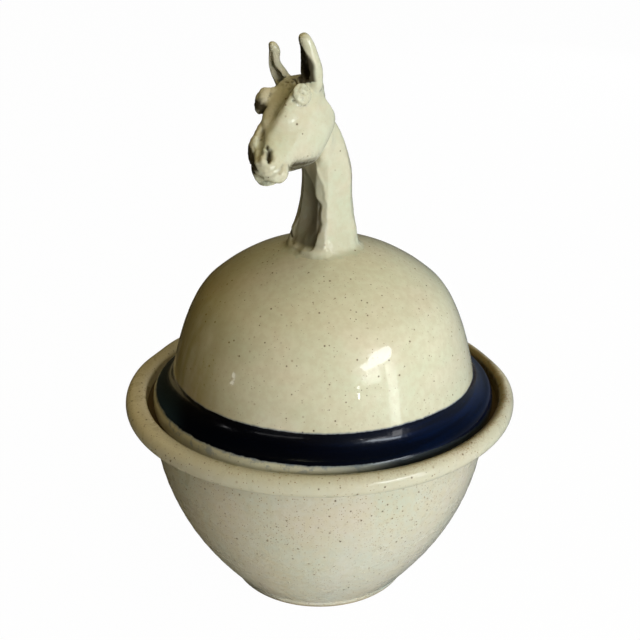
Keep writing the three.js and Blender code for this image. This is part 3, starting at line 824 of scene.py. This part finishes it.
def awayFrom(run, q, normal=Vector((0, 0, 0))):
    # shortest way from a point to a bent line, where height over or under the skin counts for less
    ways = []
    for a, b in zip(run, run[1:]):
        step = b - a
        t = min(max((q - a).dot(step) / step.length_squared, 0), 1)
        way = q - a - step * t
        ways.append((way - normal * way.dot(normal) * 0.75).length)
    return min(ways)


def stroked(strokes, q, normal):
    # how deep and how dark the strokes leave a point
    depth = dark = 0
    for one in strokes:
        if (q - one["middle"]).length < one["reach"]:
            away = awayFrom(one["run"], q, normal) * (1 + 0.3 * noise.noise(q * 0.9))
            depth += one["depth"] * bump(away, one["width"])
            dark = max(dark, one["dark"] * min(1.35 * bump(away, one["width"] * 0.9), 1))
    return depth, dark


def nostrilShade(q):
    # the right nostril, seen from its edge in the photograph
    edge = -8 - 0.6 * (q.y + 43)
    outside = ease(0.5, -0.5, q.x - edge)
    return outside * ease(-41.5, -44, q.y) * ease(-59.2, -57.6, q.y) * ease(-15, -12, q.z)


def forelock(q):
    # pinched and scratched clay between the ears
    far = Vector(((q.x - 2.6) / 6, (q.y + 4.2) / 3, (q.z + 1.8) / 3)).length
    rough = noise.noise(Vector((q.x * 0.55 + q.y * 0.3, q.y * 0.9 - q.x * 0.2, q.z * 0.6)))
    return bump(far, 0.9) * ease(-0.15, 0.25, rough)


def throatHollow(n, normal):
    # how deep the dished throat is, with the cut strip along its edge, and how dark both are painted as
    # shade
    h, up = horse, n.z - lid["crown"]
    high = h["throatHeight"]
    top = high + h["throatFade"]
    if not 0 < up < top or n.y > -1:
        return 0, 0
    wave = 0.35 * math.sin(up * 0.55) + 0.6 * noise.noise(n * 0.3)
    along = min(up / high, 1)
    inside = flowing(h["throatEdge"], along) + wave - n.x
    crest = flowing(h["stripEdge"], along) + 0.6 * wave - n.x
    facing = ease(0.1, 0.5, -normal.y) * ease(0, 4, up) * ease(top, high, up)
    hollow = ease(-0.4, 0.9, inside) * ease(-13.5, -8, n.x) * facing
    strip = ease(-0.2, 0.5, crest) * facing * (1 - hollow)
    dark = max((0.46 + 0.32 * ease(-8, 9, n.x)) * hollow, 0.34 * strip)
    return h["throatDepth"] * hollow - 0.3 * bump(crest, 0.7) * facing, dark


def crumpled(p, away):
    # the creased clay of an eye, and how dark its creases are painted, as pooled glaze and painted shade
    creases = 0.7 * noise.noise(p * 0.7) + 0.6 * noise.noise(p * 1.4) + 0.3 * noise.noise(p * 2.6)
    line = ease(0.12, 0.02, abs(noise.noise(p * 0.45)))
    return creases * bump(away, 5.2), 0.4 * line * bump(away, 4.4)


def earShade(e, ear):
    # how dark an ear's hollow is painted as shade, at a point in the ear's own frame
    w, along = ear["width"] / 2, e.z / ear["length"]
    if not 0.06 < along < 0.95 or abs(e.x) >= w or e.y >= 0.7 * w:
        return 0
    tip = ease(0.35, 0.95, along)
    aside = e.x - ear["waistAside"] * bump(along - 0.55, 0.3) + 0.42 * w * tip
    inside = (w - horse["earShell"]) * (1 - 0.6 * tip)
    wall = (aside / inside) ** 2 + ((e.y + 0.38 * w) / inside) ** 2
    return ear["poolAndShade"] * ease(1.8, 1.1, wall)


def smoothed(bm, verts, rounds):
    for _ in range(rounds):
        bmesh.ops.smooth_vert(bm, verts=verts, factor=0.5, use_axis_x=True, use_axis_y=True,
                              use_axis_z=True)


def thumbed(bm, toNeck):
    # fillets round the neck's foot and under the jowl
    h, crown = horse, lid["crown"]
    jowl = [Vector(p) for p in h["jowl"]]
    foot = [v for v in bm.verts if crown - 6 < v.co.z / mm < crown + 8]
    joint = [v for v in bm.verts if awayFrom(jowl, toNeck @ v.co / mm) < h["jowlReach"]]
    smoothed(bm, foot, h["footRounds"])
    smoothed(bm, joint, h["jowlRounds"])


def pressed(bm, toHead, toNeck):
    # presses the strokes and creases in, and returns how dark each vertex is painted, as pooled glaze
    # and painted shade
    h, crown = horse, lid["crown"]
    toEars = [(earPlace(side, ear).inverted(), ear) for side, ear in bothEars()]
    darkening = []
    for v in bm.verts:
        p = v.co / mm
        if p.z < crown + 1 and v.normal.z > 0:
            # the edge of the dome's patch dips below the lid's own skin
            v.co.z -= h["seatSunk"] * ease(26, 36, math.hypot(p.x - lid["shift"], p.y)) * mm
        rise = dark = 0
        if p.z > crown - 3:
            n, facing = (toNeck @ v.co) / mm, toNeck.to_3x3() @ v.normal
            rise += (0.4 * noise.noise(p * 0.1) + 0.14 * noise.noise(p * 0.3)) * ease(2, 6, p.z - crown)
            rise += 0.05 * noise.noise(p * 0.9) + 0.35 * noise.noise(p * 0.35) * bump(p.z - crown - 2, 4)
            depth, dark = stroked(marks["neck"], n, facing)
            dished, shaded = throatHollow(n, facing)
            rise -= depth + dished
            dark = max(dark, shaded)
        if p.z > crown + h["headFrom"]:
            q = (toHead @ v.co) / mm
            depth, deep = stroked(marks["head"], q, toHead.to_3x3() @ v.normal)
            pinched = h["pinch"] * forelock(q)
            rise -= depth + pinched
            dark = max(dark, deep, nostrilShade(q), pinched)
            for away in [(q - Vector(at)).length for at in h["eyeAt"]]:
                if away < h["eyeReach"]:
                    creases, creased = crumpled(p, away)
                    rise += creases
                    dark = max(dark, creased)
            for toEar, ear in toEars:
                dark = max(dark, earShade((toEar @ (q * mm)) / mm, ear))
        v.co += v.normal * rise * mm
        darkening.append(dark)
    return darkening


def sculpt(piece, head, neck):
    # works the melted form over, and keeps as an attribute how dark the glaze is painted, as pooled
    # glaze and painted shade
    bm = bmesh.new()
    bm.from_mesh(piece.data)
    toHead, toNeck = head.inverted(), neck.inverted()
    thumbed(bm, toNeck)
    bm.normal_update()
    darkening = pressed(bm, toHead, toNeck)
    # pooled glaze and painted shade also darken the glaze wherever the smoothed skin lies above the real
    # one
    bm.normal_update()
    smooth = bm.copy()
    smoothed(smooth, smooth.verts, 16)
    above = lid["crown"] + 6
    pooledAndShaded = bm.verts.layers.float.new("pooledAndShaded")
    for v, skin, dark in zip(bm.verts, smooth.verts, darkening):
        hollow = (skin.co - v.co).dot(v.normal) / mm
        cavity = 0.7 * ease(0.08, 0.5, hollow) * ease(above, above + 6, v.co.z / mm)
        v[pooledAndShaded] = max(dark, cavity)
    smooth.free()
    bm.to_mesh(piece.data)
    bm.free()
    print("horse faces", len(piece.data.polygons))


print("bowl")
thrownBowl = dressed(bowlPiece(), bowlMaterial())
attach(thrownBowl, "bowl")
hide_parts("bowl")

print("lid")
thrownLid = dressed(lidPiece(), lidMaterial())
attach(thrownLid, "lid")
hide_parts("lid")

print("horse")
handle = dressed(horsePiece(), horseMaterial())
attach(handle, "lid")
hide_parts("horse_head_and_neck", "ear_left", "ear_right", "eye_left", "eye_right")

# Studio

studio = {
    "floorColour": (0.9, 0.89, 0.86, 1), "floorGlow": 0.985, "white": (1, 1, 1, 1),
    "worldRight": 0.17, "worldLeft": 0.015,
    "warmSide": (1.0, 0.75, 0.35, 1), "coolSide": (0.8, 0.91, 1.0, 1),
    "lamps": {
        "key": {"azimuth": 37, "height": 14, "distance": 1.5, "size": (0.8, 0.45), "power": 12.2},
        "front": {"azimuth": 35, "height": 50, "distance": 1.6, "size": (0.8, 0.8), "power": 3.6,
                  "colour": (1.0, 0.85, 0.42)},
        "ceiling": {"azimuth": 0, "height": 88, "distance": 1.6, "size": (1.2, 1.2), "power": 6.5,
                    "colour": (1.0, 0.8, 0.37)},
        "side": {"azimuth": 100, "height": 35, "distance": 1.6, "size": (0.8, 0.8), "power": 2.6,
                 "colour": (0.58, 0.8, 1.0)},
        "low": {"azimuth": 52, "height": 1, "distance": 1.5, "size": (0.6, 0.3), "power": 4.4,
                "colour": (0.58, 0.8, 1.0)},
        "back": {"azimuth": 155, "height": 12, "distance": 1.6, "size": (0.8, 0.8), "power": 5.5,
                 "colour": (0.85, 0.93, 1.0)},
    },
    "bounce": {"place": (0.15, -0.22, 0.002), "size": (0.5, 0.34), "power": 0.22},
    "glints": {
        "transom": {"azimuth": 43, "height": 19, "distance": 1.5, "size": (0.7, 0.19), "power": 4.4,
                    "tilt": 14, "colour": (0.85, 0.93, 1.0)},
        "pane": {"azimuth": 38, "height": 11, "distance": 1.5, "size": (0.28, 0.14), "power": 0.5},
        "post": {"azimuth": 52, "height": 4, "distance": 1.5, "size": (0.2, 0.5), "power": 1.3},
        "star": {"azimuth": 26, "height": 7, "distance": 1.5, "size": (0.045, 0.045), "power": 0.15},
        "lamp": {"azimuth": -70, "height": 4, "distance": 1.5, "size": (0.09, 0.09), "power": 0.12},
        "low": {"azimuth": -30, "height": -4, "distance": 1.5, "size": (0.9, 0.1), "power": 0.3},
    },
    "aim": (0, 0, 0.16),
    "camera": {"place": (0.00035, -0.66825, 0.45799), "down": 23.75, "lens": 70.37},
}


def floorPiece():
    bm = bmesh.new()
    bmesh.ops.create_grid(bm, x_segments=1, y_segments=1, size=30)
    piece = asObject(bm, "studio_floor")
    material = bpy.data.materials.new("studioFloor")
    material.use_nodes = True
    tree = material.node_tree
    tree.nodes.remove(tree.nodes["Principled BSDF"])
    start = Wire(tree)
    matt = start.node("ShaderNodeBsdfDiffuse", None, {"Color": studio["floorColour"]})
    glow = start.node("ShaderNodeEmission", None, {"Color": studio["white"], "Strength": 1.0})
    seen = start.node("ShaderNodeLightPath", out=0)
    both = start.node("ShaderNodeMixShader", None, {0: seen * studio["floorGlow"], 1: matt, 2: glow})
    hook(tree.nodes["Material Output"], "Surface", both)
    piece.visible_glossy = False
    return dressed(piece, material)


def areaLamp(name, look):
    lamp = bpy.data.lights.new(name, "AREA")
    lamp.shape, lamp.size, lamp.size_y, lamp.energy = "RECTANGLE", *look["size"], look["power"]
    lamp.color = look.get("colour", (1, 1, 1))
    box = bpy.data.objects.new(name, lamp)
    bpy.context.collection.objects.link(box)
    return box


def softbox(name, look, glint):
    # faces the dish; a glint shows in the glaze and lights nothing
    box = areaLamp(name, look)
    a, e = math.radians(look["azimuth"]), math.radians(look["height"])
    away = Vector((math.sin(a) * math.cos(e), -math.cos(a) * math.cos(e), math.sin(e)))
    box.location = Vector(studio["aim"]) + away * look["distance"]
    spin = Matrix.Rotation(math.radians(look.get("tilt", 0)), 3, "Z")
    box.rotation_euler = (away.to_track_quat("Z", "Y").to_matrix() @ spin).to_euler()
    box.visible_glossy = glint
    box.visible_diffuse = not glint


def bounceCard(look):
    # a white card that lies before the bowl, unseen, and lights its lower wall
    card = areaLamp("bounce_card", look)
    card.location = look["place"]
    card.rotation_euler = (math.pi, 0, 0)
    card.visible_glossy = card.visible_camera = False


def worldLight():
    # a room that is warm and dim on the left, and white behind the object
    world = bpy.data.worlds.new("studioRoom")
    bpy.context.scene.world = world
    world.use_nodes = True
    start = Wire(world.node_tree)
    side, _, up = start.node("ShaderNodeTexCoord", out=0).parts()
    level = up.between(0.75, 0.15) * 0.75 + 0.25
    lit = side.between(-0.6, 0.7) * (studio["worldRight"] - studio["worldLeft"]) + studio["worldLeft"]
    tint = side.between(-0.3, 0.3).blend(studio["warmSide"], studio["coolSide"])
    seen = start.node("ShaderNodeLightPath", out=0)
    backdrop = world.node_tree.nodes["Background"]
    hook(backdrop, "Strength", seen + (1 - seen) * (lit * level))
    hook(backdrop, "Color", seen.blend(tint, studio["white"]))


def cameraView(look):
    camera = bpy.data.objects.new("camera", bpy.data.cameras.new("camera"))
    bpy.context.collection.objects.link(camera)
    camera.data.sensor_width, camera.data.lens, camera.data.clip_end = 36, look["lens"], 100
    camera.location = look["place"]
    camera.rotation_euler = (math.radians(90 - look["down"]), 0, 0)
    return camera


print("studio")
floorPiece()
worldLight()
for name, look in studio["lamps"].items():
    softbox(name + "_softbox", look, False)
for name, look in studio["glints"].items():
    softbox(name + "_glint", look, True)
bounceCard(studio["bounce"])
bpy.context.scene.camera = cameraView(studio["camera"])
bpy.context.scene.view_settings.view_transform = "Standard"

print("finish")
